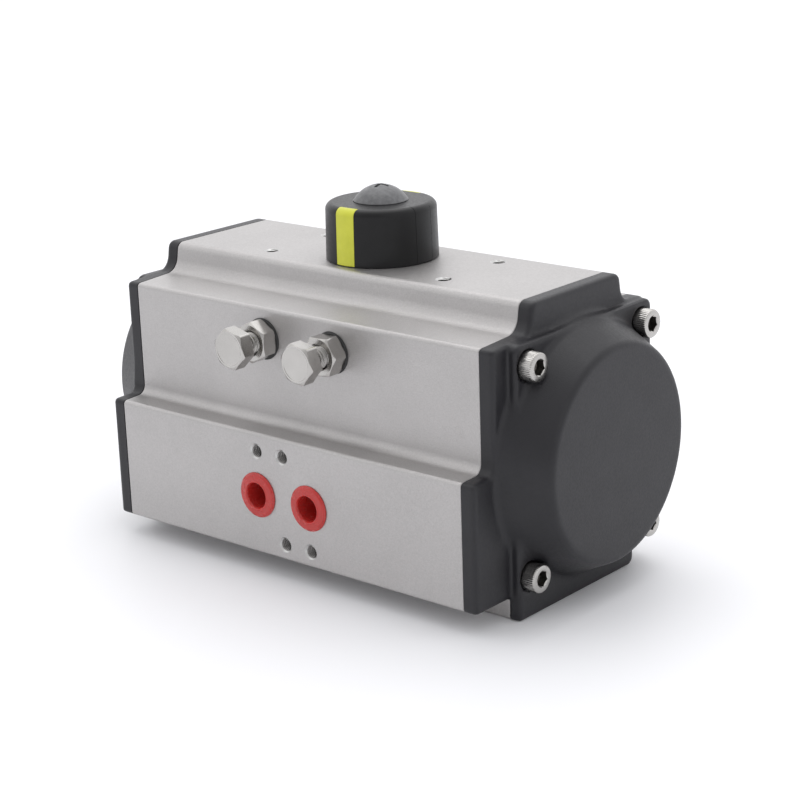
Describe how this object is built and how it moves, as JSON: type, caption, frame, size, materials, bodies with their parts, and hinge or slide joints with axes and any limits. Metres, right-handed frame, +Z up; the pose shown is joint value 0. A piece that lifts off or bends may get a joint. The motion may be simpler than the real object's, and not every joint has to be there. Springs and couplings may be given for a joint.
{
  "type": "rotary pneumatic actuator",
  "caption": "Quarter-turn rack-and-pinion pneumatic actuator: grey extruded body, dark domed end caps, air ports, stop screws and a flagged position indicator on top.",
  "frame": {"origin": "centre of the bottom mounting pad's bolt patterns, on the pinion's axis, in the plane of the pad", "axes": "+Z up the pinion towards the indicator, +X along the cylinder bore towards the right end cap, -Y towards the air ports and stop screws"},
  "size_m": [0.203, 0.1077, 0.1309],
  "materials": {
    "anodised_body": "bead-blasted and clear anodised, satin",
    "coated_cap": "charcoal coating on die-cast aluminium, fine texture",
    "stainless": "turned and knurled stainless steel",
    "cast_aluminium": "die-cast, as machined",
    "plated_steel": "nickel plated",
    "dark_steel": "blackened spring steel",
    "bearing_plastic": "natural acetal",
    "seal_rubber": "nitrile rubber",
    "black_plastic": "satin moulded",
    "yellow_plastic": "satin moulded",
    "screw_plastic": "moulded, slightly glossy",
    "red_plastic": "soft translucent polyethylene"
  },
  "bodies": {
    "housing": {"body": "anodised_body", "end_cap_left": "coated_cap", "end_cap_right": "coated_cap", "end_cap_seal_left": "seal_rubber", "end_cap_seal_right": "seal_rubber", "transfer_seal_left": "seal_rubber", "transfer_seal_right": "seal_rubber", "cap_screws_left": "stainless", "cap_screws_right": "stainless", "pinion_bearing_bottom": "bearing_plastic", "pinion_bearing_top": "bearing_plastic", "thrust_washer": "bearing_plastic", "lock_nut_left": "stainless", "lock_nut_right": "stainless", "stop_washer_left": "seal_rubber", "stop_washer_right": "seal_rubber", "stop_o_ring_left": "seal_rubber", "stop_o_ring_right": "seal_rubber"},
    "drive": {"pinion": "plated_steel", "stop_cam": "dark_steel", "pinion_o_ring_bottom": "seal_rubber", "pinion_o_ring_top": "seal_rubber", "backing_washer": "stainless", "retaining_ring": "dark_steel", "indicator_cap": "black_plastic", "indicator_flag_front": "yellow_plastic", "indicator_flag_back": "yellow_plastic", "indicator_blank_left": "black_plastic", "indicator_blank_right": "black_plastic", "indicator_screw": "screw_plastic"},
    "left_piston": {"piston_left": "cast_aluminium", "piston_o_ring_left": "seal_rubber", "piston_guide_ring_left": "bearing_plastic", "rack_guide_left": "bearing_plastic"},
    "right_piston": {"piston_right": "cast_aluminium", "piston_o_ring_right": "seal_rubber", "piston_guide_ring_right": "bearing_plastic", "rack_guide_right": "bearing_plastic"},
    "left_stop": {"stop_screw_left": "stainless"},
    "right_stop": {"stop_screw_right": "stainless"},
    "plug_a": {"port_plug_a": "red_plastic"},
    "plug_b": {"port_plug_b": "red_plastic"}
  },
  "joints": [
    {"name": "pinion_turn", "type": "hinge", "parent": "housing", "child": "drive", "pos_m": [0, 0, 0.0525], "axis": [0, 0, 1], "range_deg": [0, 90]},
    {"name": "left_piston_slide", "type": "slide", "parent": "housing", "child": "left_piston", "axis": [-1, 0, 0], "range_m": [0, 0.0213]},
    {"name": "right_piston_slide", "type": "slide", "parent": "housing", "child": "right_piston", "axis": [1, 0, 0], "range_m": [0, 0.0213]},
    {"name": "left_stop_adjust", "type": "slide", "parent": "housing", "child": "left_stop", "axis": [0, -1, 0], "range_m": [0, 0.003]},
    {"name": "right_stop_adjust", "type": "slide", "parent": "housing", "child": "right_stop", "axis": [0, -1, 0], "range_m": [0, 0.003]},
    {"name": "plug_a_pull", "type": "slide", "parent": "housing", "child": "plug_a", "axis": [0, -1, 0], "range_m": [0, 0.012]},
    {"name": "plug_b_pull", "type": "slide", "parent": "housing", "child": "plug_b", "axis": [0, -1, 0], "range_m": [0, 0.012]}
  ],
  "couplings": [
    {"joint": "left_piston_slide", "follows": "pinion_turn", "m_per_rad": 0.0135},
    {"joint": "right_piston_slide", "follows": "pinion_turn", "m_per_rad": 0.0135}
  ]
}
